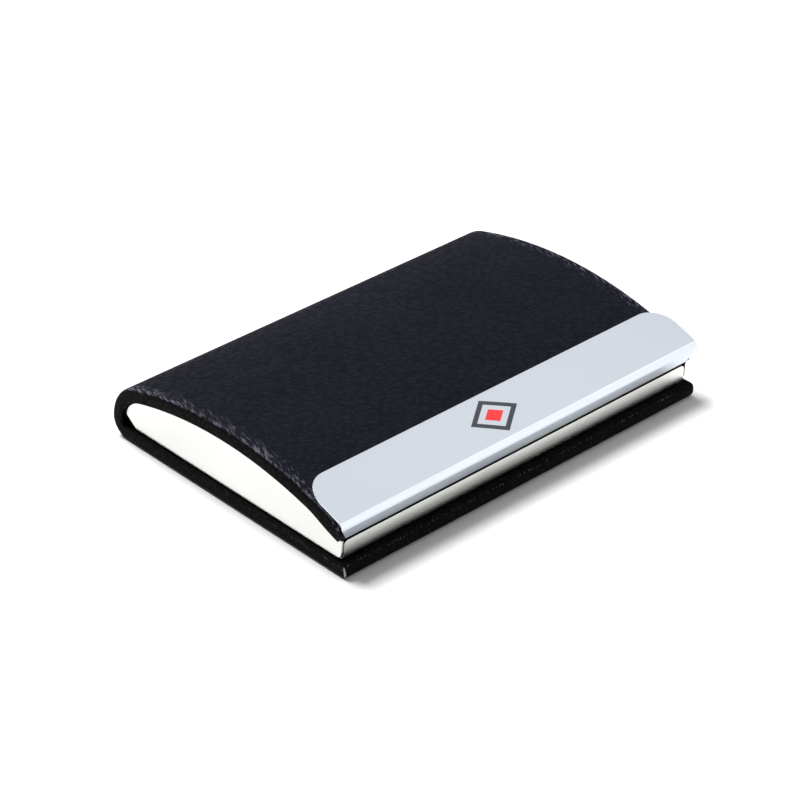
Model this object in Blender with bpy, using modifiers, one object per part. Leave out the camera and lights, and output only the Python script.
"""A magnetic business card case: an arched lid over a stainless card tray.

One strip of imitation leather wraps three stiff boards, under the base, behind the spine
and over the lid, and bends at two knees in the spine to open.
Units are metres. X runs along the case, -Y is its opening edge, Z is up, and the origin
is the middle of the underside. Every curve of the cover lies on one chain of arcs: the
lower rear corner, the spine, the arch and the nose. A point on that chain is named by
the angle of its outward normal and by its depth below the outer skin.
"""

import math

import bmesh
import bpy

MM = 0.001

# The case as a whole
CASE_LENGTH = 95.0 * MM
CASE_DEPTH = 66.0 * MM
CASE_HEIGHT = 16.4 * MM
ARCH_RADIUS = 90.0 * MM
ARCH_MIDDLE_Y = 0.6 * MM
CORNER_RADIUS = 4.0 * MM
NOSE_RADIUS = 0.9 * MM
LID_SETBACK = 2.0 * MM
SKIN_EDGE_RADIUS = 0.55 * MM

# Sheet materials
LEATHER = 0.8 * MM
LID_BOARD = 1.1 * MM
BASE_BOARD = 1.2 * MM
GLUE_LINE = 0.1 * MM
HEM_WIDTH = 9.0 * MM
STEEL = 0.4 * MM
TAPE = 0.15 * MM
TAPE_GAP = 0.05 * MM

# Knees of the leather, and the slits between the pieces that part there
LOWER_KNEE_DEG = -45.0
UPPER_KNEE_DEG = 50.0
KNEE_GAP = 0.3 * MM
BOARD_BACK_OFF = 0.5 * MM

# Card tray
TRAY_END_INSET = 0.8 * MM
BACK_WALL_SETBACK = 7.6 * MM
LID_CLEARANCE = 0.3 * MM
FRONT_WALL_CLEARANCE = 0.6 * MM
BACK_WALL_CLEARANCE = 2.1 * MM
CORNER_SLIT = 0.25 * MM
BEND_STEP = 0.1 * MM
WALL_ROOT = 0.1 * MM
EAR_RISE_DEG = 36.0
EAR_ANGLE_DEG = 20.0

# Front plate
PLATE_DEPTH = 10.8 * MM
PLATE_SIDE_INSET = 0.4 * MM
PLATE_CORNER_RADIUS = 5.5 * MM
PLATE_LIP = 2.2 * MM
PLATE_TAPE_MARGIN = 1.0 * MM

# Lid lining plate and its foam tape
LINER_SIDE_CLEARANCE = 1.0 * MM
LINER_FRONT_SETBACK = 3.0 * MM
LINER_BACK_SETBACK = 2.4 * MM
LINER_PAD_MARGIN = 0.4 * MM

# Closing magnets
MAGNET_RADIUS = 3.0 * MM
MAGNET_THICKNESS = 0.9 * MM
MAGNET_HOLE_CLEARANCE = 0.2 * MM
MAGNET_SPREAD = 32.0 * MM
MAGNET_FROM_FRONT = 5.0 * MM

# Smoothness of the arcs
CORNER_STEP_DEG = 9.0
SPINE_STEP_DEG = 8.0
ARCH_STEP_DEG = 1.8
NOSE_STEP_DEG = 22.0
PLATE_CORNER_STEPS = 8
ROUND_STEPS = 40
EDGE_SEGMENTS = 3
CUT_PAST = 5.0 * MM

# Places that follow from the sizes above
END_X = CASE_LENGTH / 2
FRONT_Y = -CASE_DEPTH / 2
BACK_Y = CASE_DEPTH / 2
LID_FRONT_Y = FRONT_Y + LID_SETBACK
BASE_TOP_Z = LEATHER + GLUE_LINE + BASE_BOARD + GLUE_LINE + LEATHER
COVER_THICKNESS = LEATHER + GLUE_LINE + LID_BOARD + GLUE_LINE + LEATHER
LINING_DEPTH = COVER_THICKNESS - LEATHER
ARCH_MIDDLE_Z = CASE_HEIGHT - ARCH_RADIUS
TRAY_BOTTOM_Z = BASE_TOP_Z + TAPE_GAP + TAPE + TAPE_GAP
TRAY_END_X = END_X - TRAY_END_INSET
TRAY_FRONT_Y = LID_FRONT_Y
TRAY_BACK_Y = BACK_Y - BACK_WALL_SETBACK
TRAY_TOP_DEPTH = COVER_THICKNESS + LID_CLEARANCE


def spine_radius():
    """The arc that is tangent to the back plane at the corner arc's top, and to the arch."""
    reach = BACK_Y - ARCH_MIDDLE_Y
    drop = CORNER_RADIUS - ARCH_MIDDLE_Z
    return (ARCH_RADIUS**2 - reach**2 - drop**2) / (2 * (ARCH_RADIUS - reach))


SPINE_RADIUS = spine_radius()
CORNER_MIDDLE = (BACK_Y - CORNER_RADIUS, CORNER_RADIUS)
SPINE_MIDDLE = (BACK_Y - SPINE_RADIUS, CORNER_RADIUS)
ARCH_MIDDLE = (ARCH_MIDDLE_Y, ARCH_MIDDLE_Z)
ARCH_FROM_DEG = math.degrees(
    math.atan2(SPINE_MIDDLE[1] - ARCH_MIDDLE_Z, SPINE_MIDDLE[0] - ARCH_MIDDLE_Y)
)
NOSE_MIDDLE_Y = LID_FRONT_Y + NOSE_RADIUS
NOSE_FROM_DEG = math.degrees(
    math.acos((NOSE_MIDDLE_Y - ARCH_MIDDLE_Y) / (ARCH_RADIUS - NOSE_RADIUS))
)
NOSE_MIDDLE = (
    NOSE_MIDDLE_Y,
    ARCH_MIDDLE_Z + (ARCH_RADIUS - NOSE_RADIUS) * math.sin(math.radians(NOSE_FROM_DEG)),
)
# Each arc of the chain: first normal angle, middle, radius, step
ARCS = (
    (-90.0, CORNER_MIDDLE, CORNER_RADIUS, CORNER_STEP_DEG),
    (0.0, SPINE_MIDDLE, SPINE_RADIUS, SPINE_STEP_DEG),
    (ARCH_FROM_DEG, ARCH_MIDDLE, ARCH_RADIUS, ARCH_STEP_DEG),
    (NOSE_FROM_DEG, NOSE_MIDDLE, NOSE_RADIUS, NOSE_STEP_DEG),
)
CHAIN_END_DEG = 180.0


def polar(middle, radius, degrees):
    turn = math.radians(degrees)
    return (middle[0] + radius * math.cos(turn), middle[1] + radius * math.sin(turn))


def arc(middle, radius, from_deg, to_deg, steps):
    share = (to_deg - from_deg) / steps
    return [polar(middle, radius, from_deg + share * i) for i in range(steps + 1)]


def skin_run(depth, from_deg, to_deg, nosed=False):
    """Points at one depth below the outer skin, between two normal angles.

    A nosed run turns down over the nose; any other stays on the arch to its end.
    """
    points = []
    arcs = ARCS if nosed else ARCS[:-1]
    lasts = [following[0] for following in arcs[1:]] + [to_deg]
    for (first, middle, radius, step), last in zip(arcs, lasts):
        low = max(first, from_deg)
        high = min(last, to_deg)
        if high <= low:
            continue
        steps = max(1, math.ceil((high - low) / step))
        run = arc(middle, radius - depth, low, high, steps)
        points += run[1:] if points else run
    return points


def arch_angle_at(y, depth):
    """The normal angle at which the arch, at this depth, stands over y."""
    return math.degrees(math.acos((y - ARCH_MIDDLE_Y) / (ARCH_RADIUS - depth)))


def knee_gap_deg(radius):
    """Half a knee's slit, as an angle on an arc of this radius."""
    return math.degrees(KNEE_GAP / 2 / radius)


def band(outer_depth, inner_depth, from_deg, to_deg):
    """The section of one layer of the cover."""
    outer = skin_run(outer_depth, from_deg, to_deg)
    inner = skin_run(inner_depth, from_deg, to_deg)
    return outer + inner[::-1]


LOWER_KNEE = polar(CORNER_MIDDLE, CORNER_RADIUS, LOWER_KNEE_DEG)
UPPER_KNEE = polar(SPINE_MIDDLE, SPINE_RADIUS, UPPER_KNEE_DEG)
SPINE_FROM_DEG = LOWER_KNEE_DEG + knee_gap_deg(CORNER_RADIUS)
SPINE_TO_DEG = UPPER_KNEE_DEG - knee_gap_deg(SPINE_RADIUS)
LID_FROM_DEG = UPPER_KNEE_DEG + knee_gap_deg(SPINE_RADIUS)


def clear_scene():
    for obj in list(bpy.data.objects):
        bpy.data.objects.remove(obj, do_unlink=True)


def new_collection(name):
    collection = bpy.data.collections.new(name)
    bpy.context.scene.collection.children.link(collection)
    return collection


clear_scene()
CASE = new_collection("business_card_case")
CUTTERS = new_collection("cutters")


def add_object(name, mesh):
    obj = bpy.data.objects.new(name, mesh)
    CASE.objects.link(obj)
    return obj


def slab(name, outline, low_x, high_x):
    """A section in Y and Z, drawn out along X and welded into one mesh."""
    curve = bpy.data.curves.new(name, "CURVE")
    curve.dimensions = "2D"
    curve.fill_mode = "BOTH"
    curve.extrude = (high_x - low_x) / 2
    spline = curve.splines.new("POLY")
    spline.points.add(len(outline) - 1)
    for point, (y, z) in zip(spline.points, outline):
        point.co = (y, z, 0.0, 1.0)
    spline.use_cyclic_u = True
    drawn = bpy.data.objects.new(name, curve)
    CASE.objects.link(drawn)
    drawn.rotation_euler = (math.pi / 2, 0.0, math.pi / 2)
    drawn.location.x = (low_x + high_x) / 2
    bpy.context.view_layer.update()
    evaluated = drawn.evaluated_get(bpy.context.evaluated_depsgraph_get())
    mesh = bpy.data.meshes.new_from_object(evaluated)
    mesh.transform(drawn.matrix_world)
    bpy.data.objects.remove(drawn, do_unlink=True)
    bpy.data.curves.remove(curve)
    work = bmesh.new()
    work.from_mesh(mesh)
    bmesh.ops.remove_doubles(work, verts=work.verts, dist=0.001 * MM)
    bmesh.ops.dissolve_limit(
        work, angle_limit=math.radians(0.05), verts=work.verts, edges=work.edges
    )
    bmesh.ops.recalc_face_normals(work, faces=work.faces)
    work.to_mesh(mesh)
    work.free()
    mesh.name = name
    return add_object(name, mesh)


def box(name, low, high):
    work = bmesh.new()
    bmesh.ops.create_cube(work, size=1.0)
    for vertex in work.verts:
        for i in range(3):
            vertex.co[i] = low[i] + (vertex.co[i] + 0.5) * (high[i] - low[i])
    mesh = bpy.data.meshes.new(name)
    work.to_mesh(mesh)
    work.free()
    return add_object(name, mesh)


def disc(name, radius, thickness):
    bpy.ops.mesh.primitive_cylinder_add(
        vertices=ROUND_STEPS, radius=radius, depth=thickness
    )
    obj = bpy.context.object
    obj.name = name
    for collection in list(obj.users_collection):
        collection.objects.unlink(obj)
    CASE.objects.link(obj)
    return obj


def boolean(target, tool, operation="DIFFERENCE"):
    CASE.objects.unlink(tool)
    CUTTERS.objects.link(tool)
    tool.hide_render = True
    tool.display_type = "WIRE"
    modifier = target.modifiers.new(tool.name, "BOOLEAN")
    modifier.operation = operation
    modifier.object = tool


def round_end_edges(obj):
    """Rounds the leather where it turns over the two ends of its board."""
    mesh = obj.data
    weights = mesh.attributes.new("bevel_weight_edge", "FLOAT", "EDGE")
    for edge in mesh.edges:
        ends = [mesh.vertices[i].co for i in edge.vertices]
        on_end = abs(abs(ends[0].x) - END_X) < GLUE_LINE
        if on_end and abs(ends[0].x - ends[1].x) < GLUE_LINE:
            weights.data[edge.index].value = 1.0
    bevel = obj.modifiers.new("turned_edge", "BEVEL")
    bevel.limit_method = "WEIGHT"
    bevel.width = SKIN_EDGE_RADIUS
    bevel.segments = EDGE_SEGMENTS


def finish_material(name, colour, roughness, metallic=0.0):
    material = bpy.data.materials.new(name)
    material.use_nodes = True
    shader = material.node_tree.nodes["Principled BSDF"]
    shader.inputs["Base Color"].default_value = (*colour, 1.0)
    shader.inputs["Roughness"].default_value = roughness
    shader.inputs["Metallic"].default_value = metallic
    return material


LEATHER_BLACK = (0.012, 0.012, 0.018)
LINING_BLACK = (0.02, 0.02, 0.022)
BOARD_GREY = (0.35, 0.32, 0.28)
STEEL_BRIGHT = (0.72, 0.74, 0.76)
TAPE_WHITE = (0.75, 0.74, 0.68)
MAGNET_NICKEL = (0.6, 0.6, 0.58)


def give(obj, colour, roughness, metallic=0.0):
    """The piece's own finish, with smooth shading on its rounds."""
    obj.data.materials.clear()
    obj.data.materials.append(
        finish_material(obj.name + "_finish", colour, roughness, metallic)
    )
    obj.data.shade_smooth()
    obj.data.set_sharp_from_angle(angle=math.radians(30))


def axis_empty(name, y, z, parent=None):
    empty = bpy.data.objects.new(name, None)
    empty.empty_display_size = CORNER_RADIUS
    CASE.objects.link(empty)
    empty.location = (0.0, y, z)
    if parent:
        empty.parent = parent
        empty.location = (0.0, y - parent.location.y, z - parent.location.z)
    return empty


def hang(obj, parent):
    """Parents a piece that is modelled in place to its body's empty."""
    bpy.context.view_layer.update()
    obj.parent = parent
    obj.matrix_parent_inverse = parent.matrix_world.inverted()


# Base: leather turned in over a board, with the tray taped on top


def base_section(inset, low_z, high_z):
    """From the front edge to the lower knee, held back from the skin by the inset."""
    knee_deg = LOWER_KNEE_DEG - knee_gap_deg(CORNER_RADIUS)
    skin = arc(
        CORNER_MIDDLE, CORNER_RADIUS, -90.0, knee_deg, math.ceil(45.0 / CORNER_STEP_DEG)
    )
    if inset == 0.0:
        slope = math.tan(math.radians(knee_deg))
        top_back = CORNER_MIDDLE[0] + (high_z - CORNER_MIDDLE[1]) / slope
        return [(FRONT_Y, low_z)] + skin + [(top_back, high_z), (FRONT_Y, high_z)]
    back = CORNER_MIDDLE[0] - inset
    return [
        (FRONT_Y + inset, low_z),
        (back, low_z),
        (back, high_z),
        (FRONT_Y + inset, high_z),
    ]


def make_base_leather():
    leather = slab("base_leather", base_section(0.0, 0.0, BASE_TOP_Z), -END_X, END_X)
    round_end_edges(leather)
    pocket_x = END_X - LEATHER
    pocket = slab(
        "base_board_pocket",
        base_section(LEATHER, LEATHER, BASE_TOP_Z - LEATHER),
        -pocket_x,
        pocket_x,
    )
    boolean(leather, pocket)
    hem_x = END_X - HEM_WIDTH
    opening = box(
        "base_hem_opening",
        (-hem_x, FRONT_Y + HEM_WIDTH, BASE_TOP_Z - LEATHER - GLUE_LINE),
        (hem_x, BACK_Y - HEM_WIDTH, BASE_TOP_Z + CUT_PAST),
    )
    boolean(leather, opening)
    give(leather, LEATHER_BLACK, 0.45)
    return leather


def make_base_board():
    inset = LEATHER + GLUE_LINE
    board_x = END_X - inset
    board = slab(
        "base_board", base_section(inset, inset, inset + BASE_BOARD), -board_x, board_x
    )
    give(board, BOARD_GREY, 0.9)
    return board


def make_base_lining():
    edge_x = END_X - HEM_WIDTH - GLUE_LINE
    lining = box(
        "base_lining",
        (-edge_x, FRONT_Y + HEM_WIDTH + GLUE_LINE, BASE_TOP_Z - LEATHER),
        (edge_x, BACK_Y - HEM_WIDTH - GLUE_LINE, BASE_TOP_Z),
    )
    give(lining, LINING_BLACK, 0.8)
    return lining


def make_tray_tape():
    margin = TRAY_END_INSET
    tape = box(
        "tray_tape",
        (-TRAY_END_X + margin, TRAY_FRONT_Y + margin, BASE_TOP_Z + TAPE_GAP),
        (TRAY_END_X - margin, TRAY_BACK_Y - margin, BASE_TOP_Z + TAPE_GAP + TAPE),
    )
    give(tape, TAPE_WHITE, 0.7)
    return tape


# Card tray: a folded stainless sheet whose end walls follow the lid


def end_wall_outline():
    """Up the front, along under the arch and the spine, and down the slanted ear."""
    front_deg = arch_angle_at(TRAY_FRONT_Y, TRAY_TOP_DEPTH)
    top = skin_run(TRAY_TOP_DEPTH, EAR_ANGLE_DEG, front_deg)
    root_z = TRAY_BOTTOM_Z + WALL_ROOT
    ear = top[0]
    heel_y = ear[0] - (ear[1] - root_z) / math.tan(math.radians(EAR_RISE_DEG))
    return [(TRAY_FRONT_Y, root_z), (heel_y, root_z)] + top


def lid_underside_z(y):
    """How high the lid's underside stands over y, under the arch."""
    radius = ARCH_RADIUS - COVER_THICKNESS
    return polar(ARCH_MIDDLE, radius, arch_angle_at(y, COVER_THICKNESS))[1]


def make_card_tray():
    inner_x = TRAY_END_X - STEEL
    floor_top = TRAY_BOTTOM_Z + STEEL
    tray = box(
        "card_tray",
        (-TRAY_END_X + BEND_STEP, TRAY_FRONT_Y + BEND_STEP, TRAY_BOTTOM_Z),
        (TRAY_END_X - BEND_STEP, TRAY_BACK_Y - BEND_STEP, floor_top),
    )
    for side, low_x, high_x in (
        ("left", -TRAY_END_X, -inner_x),
        ("right", inner_x, TRAY_END_X),
    ):
        wall = slab("tray_end_wall_" + side, end_wall_outline(), low_x, high_x)
        boolean(tray, wall, "UNION")
    wall_x = inner_x - CORNER_SLIT
    root_z = TRAY_BOTTOM_Z + WALL_ROOT
    front = box(
        "tray_front_wall",
        (-wall_x, TRAY_FRONT_Y, root_z),
        (wall_x, TRAY_FRONT_Y + STEEL, lid_underside_z(TRAY_FRONT_Y) - FRONT_WALL_CLEARANCE),
    )
    boolean(tray, front, "UNION")
    back = box(
        "tray_back_wall",
        (-wall_x, TRAY_BACK_Y - STEEL, root_z),
        (wall_x, TRAY_BACK_Y, lid_underside_z(TRAY_BACK_Y) - BACK_WALL_CLEARANCE),
    )
    boolean(tray, back, "UNION")
    give(tray, STEEL_BRIGHT, 0.2, 1.0)
    return tray


# Spine: the strip between the two knees


def make_spine_leather():
    leather = slab(
        "spine_leather",
        band(0.0, COVER_THICKNESS, SPINE_FROM_DEG, SPINE_TO_DEG),
        -END_X,
        END_X,
    )
    round_end_edges(leather)
    pocket_x = END_X - LEATHER
    deep = COVER_THICKNESS + (CORNER_RADIUS - COVER_THICKNESS) / 2
    pocket = slab(
        "spine_board_channel",
        band(LEATHER, deep, LOWER_KNEE_DEG - CORNER_STEP_DEG, UPPER_KNEE_DEG + SPINE_STEP_DEG),
        -pocket_x,
        pocket_x,
    )
    boolean(leather, pocket)
    give(leather, LEATHER_BLACK, 0.45)
    return leather


def spine_layer(name, outer_depth, inner_depth, from_deg):
    strip_x = END_X - LEATHER - GLUE_LINE
    back_off = math.degrees(BOARD_BACK_OFF / SPINE_RADIUS)
    outline = band(outer_depth, inner_depth, from_deg, SPINE_TO_DEG - back_off)
    return slab(name, outline, -strip_x, strip_x)


def make_spine_board():
    depth = LEATHER + GLUE_LINE
    back_off = math.degrees(BOARD_BACK_OFF / CORNER_RADIUS)
    board = spine_layer("spine_board", depth, depth + LID_BOARD, SPINE_FROM_DEG + back_off)
    give(board, BOARD_GREY, 0.9)
    return board


def make_spine_lining():
    lining = spine_layer(
        "spine_lining", LINING_DEPTH, COVER_THICKNESS, LOWER_KNEE_DEG / 2
    )
    give(lining, LINING_BLACK, 0.8)
    return lining


# Lid: leather over a curved board, with the steel plate on its front edge


def make_lid_leather():
    under_deg = arch_angle_at(LID_FRONT_Y, COVER_THICKNESS)
    outline = (
        skin_run(0.0, LID_FROM_DEG, CHAIN_END_DEG, nosed=True)
        + skin_run(COVER_THICKNESS, LID_FROM_DEG, under_deg)[::-1]
    )
    leather = slab("lid_leather", outline, -END_X, END_X)
    round_end_edges(leather)
    pocket_x = END_X - LEATHER
    back_off = math.degrees(LEATHER / SPINE_RADIUS)
    pocket_front_deg = arch_angle_at(LID_FRONT_Y + LEATHER, LEATHER)
    pocket = slab(
        "lid_board_pocket",
        band(LEATHER, LINING_DEPTH, LID_FROM_DEG + back_off, pocket_front_deg),
        -pocket_x,
        pocket_x,
    )
    boolean(leather, pocket)
    hem_x = END_X - HEM_WIDTH
    opening = slab(
        "lid_hem_opening",
        band(
            LINING_DEPTH - GLUE_LINE,
            COVER_THICKNESS + GLUE_LINE,
            arch_angle_at(BACK_Y - HEM_WIDTH, COVER_THICKNESS),
            arch_angle_at(LID_FRONT_Y + HEM_WIDTH, COVER_THICKNESS),
        ),
        -hem_x,
        hem_x,
    )
    boolean(leather, opening)
    give(leather, LEATHER_BLACK, 0.45)
    return leather


def magnet_seat():
    """The magnets' middle, half-way through the lid board, and its normal angle."""
    depth = LEATHER + GLUE_LINE + LID_BOARD / 2
    degrees = arch_angle_at(LID_FRONT_Y + MAGNET_FROM_FRONT, depth)
    return polar(ARCH_MIDDLE, ARCH_RADIUS - depth, degrees), degrees


def set_in_lid(obj, x):
    (y, z), degrees = magnet_seat()
    obj.location = (x, y, z)
    obj.rotation_euler = (math.radians(degrees - 90.0), 0.0, 0.0)


def make_lid_board():
    depth = LEATHER + GLUE_LINE
    board_x = END_X - depth
    back_off = math.degrees((LEATHER + GLUE_LINE) / SPINE_RADIUS)
    front_deg = arch_angle_at(LID_FRONT_Y + LEATHER + GLUE_LINE, depth)
    outline = band(depth, depth + LID_BOARD, LID_FROM_DEG + back_off, front_deg)
    board = slab("lid_board", outline, -board_x, board_x)
    for side, x in (("left", -MAGNET_SPREAD), ("right", MAGNET_SPREAD)):
        hole = disc("magnet_hole_" + side, MAGNET_RADIUS + MAGNET_HOLE_CLEARANCE, CUT_PAST)
        set_in_lid(hole, x)
        boolean(board, hole)
    give(board, BOARD_GREY, 0.9)
    return board


def make_magnet(side, x):
    magnet = disc("magnet_" + side, MAGNET_RADIUS, MAGNET_THICKNESS)
    set_in_lid(magnet, x)
    give(magnet, MAGNET_NICKEL, 0.3, 1.0)
    return magnet


def make_liner_pad():
    edge_x = END_X - HEM_WIDTH - LINER_PAD_MARGIN
    back_y = BACK_Y - HEM_WIDTH - LINER_PAD_MARGIN
    front_y = LID_FRONT_Y + HEM_WIDTH + LINER_PAD_MARGIN
    outline = band(
        LINING_DEPTH,
        COVER_THICKNESS,
        arch_angle_at(back_y, COVER_THICKNESS),
        arch_angle_at(front_y, COVER_THICKNESS),
    )
    pad = slab("liner_pad", outline, -edge_x, edge_x)
    give(pad, TAPE_WHITE, 0.8)
    return pad


def make_lid_liner():
    liner_x = TRAY_END_X - STEEL - LINER_SIDE_CLEARANCE
    depth = COVER_THICKNESS + GLUE_LINE
    outline = band(
        depth,
        depth + STEEL,
        arch_angle_at(TRAY_BACK_Y - LINER_BACK_SETBACK, depth),
        arch_angle_at(TRAY_FRONT_Y + LINER_FRONT_SETBACK, depth),
    )
    liner = slab("lid_liner", outline, -liner_x, liner_x)
    give(liner, STEEL_BRIGHT, 0.25, 1.0)
    return liner


def plate_footprint(name, margin):
    """A prism over the plate's outline in plan, square in front and rounded behind."""
    half = END_X - PLATE_SIDE_INSET - margin
    back = LID_FRONT_Y + PLATE_DEPTH - margin
    radius = PLATE_CORNER_RADIUS - margin
    right = arc((half - radius, back - radius), radius, 0.0, 90.0, PLATE_CORNER_STEPS)
    left = [(-x, y) for x, y in right[::-1]]
    front = LID_FRONT_Y - CUT_PAST
    outline = [(half, front)] + right + left + [(-half, front)]
    work = bmesh.new()
    low = [work.verts.new((x, y, -CUT_PAST)) for x, y in outline]
    lid = work.faces.new(low)
    grown = bmesh.ops.extrude_face_region(work, geom=[lid])
    risen = [v for v in grown["geom"] if isinstance(v, bmesh.types.BMVert)]
    bmesh.ops.translate(work, verts=risen, vec=(0.0, 0.0, CASE_HEIGHT + 2 * CUT_PAST))
    bmesh.ops.recalc_face_normals(work, faces=work.faces)
    mesh = bpy.data.meshes.new(name)
    work.to_mesh(mesh)
    work.free()
    return add_object(name, mesh)


def make_plate_tape():
    back_deg = arch_angle_at(LID_FRONT_Y + PLATE_DEPTH, 0.0)
    outline = band(-TAPE_GAP - TAPE, -TAPE_GAP, back_deg, NOSE_FROM_DEG)
    tape = slab("plate_tape", outline, -END_X, END_X)
    boolean(tape, plate_footprint("tape_footprint", PLATE_TAPE_MARGIN), "INTERSECT")
    give(tape, TAPE_WHITE, 0.7)
    return tape


def make_front_plate():
    inner = -TAPE_GAP - TAPE - TAPE_GAP
    outer = inner - STEEL
    back_deg = arch_angle_at(LID_FRONT_Y + PLATE_DEPTH + GLUE_LINE, 0.0)
    over = skin_run(outer, back_deg, CHAIN_END_DEG, nosed=True)
    under = skin_run(inner, back_deg, CHAIN_END_DEG, nosed=True)
    lip_z = NOSE_MIDDLE[1] - PLATE_LIP
    lip = [(over[-1][0], lip_z), (under[-1][0], lip_z)]
    plate = slab("front_plate", over + lip + under[::-1], -END_X, END_X)
    boolean(plate, plate_footprint("plate_footprint", 0.0), "INTERSECT")
    give(plate, STEEL_BRIGHT, 0.3, 1.0)
    return plate


def build():
    base = axis_empty("base_body", 0.0, 0.0)
    spine = axis_empty("lower_knee_axis", *LOWER_KNEE)
    lid = axis_empty("upper_knee_axis", *UPPER_KNEE, parent=spine)
    for make in (make_base_leather, make_base_board, make_base_lining, make_tray_tape):
        hang(make(), base)
    hang(make_card_tray(), base)
    for make in (make_spine_leather, make_spine_board, make_spine_lining):
        hang(make(), spine)
    for make in (make_lid_leather, make_lid_board, make_liner_pad, make_lid_liner):
        hang(make(), lid)
    hang(make_magnet("left", -MAGNET_SPREAD), lid)
    hang(make_magnet("right", MAGNET_SPREAD), lid)
    hang(make_plate_tape(), lid)
    hang(make_front_plate(), lid)


build()
